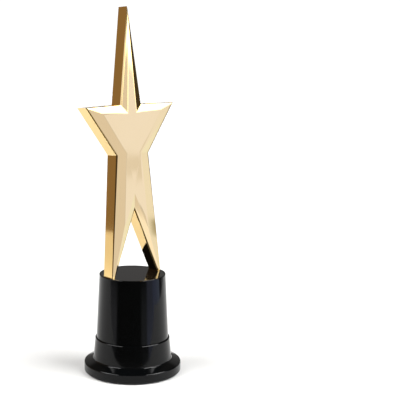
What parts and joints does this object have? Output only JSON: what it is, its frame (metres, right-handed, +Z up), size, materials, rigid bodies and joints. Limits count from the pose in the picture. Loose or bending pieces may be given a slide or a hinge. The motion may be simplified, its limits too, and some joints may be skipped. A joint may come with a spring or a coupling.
{
  "type": "star trophy",
  "caption": "Tall five-pointed gold star with bevelled face, standing on two leg tips on a tapered black drum base with a rounded foot.",
  "frame": {"origin": "centre of the underside of the base, on the surface that the trophy stands on", "axes": "+Z up; the star's face looks along -Y and leans back towards +Y; X runs across the star from arm tip to arm tip"},
  "size_m": [0.0836, 0.075, 0.279],
  "materials": {
    "gold_metallised": "vacuum-metallised gold mirror on moulded ABS",
    "base_black": "glossy black moulded plastic",
    "cover_black": "matt black sheet",
    "spring_steel": "plain rolled spring steel",
    "zinc_screws": "bright zinc plate",
    "cast_weight": "as cast, rough",
    "felt": "pressed felt"
  },
  "bodies": {
    "root": {"star_shell": "gold_metallised", "star_back_plate": "gold_metallised", "leg_clips": "spring_steel", "base_drum": "base_black", "base_foot": "base_black", "base_screws": "zinc_screws", "base_weight": "cast_weight", "weight_screw": "zinc_screws", "bottom_cover": "cover_black", "felt_pad": "felt"}
  },
  "joints": []
}
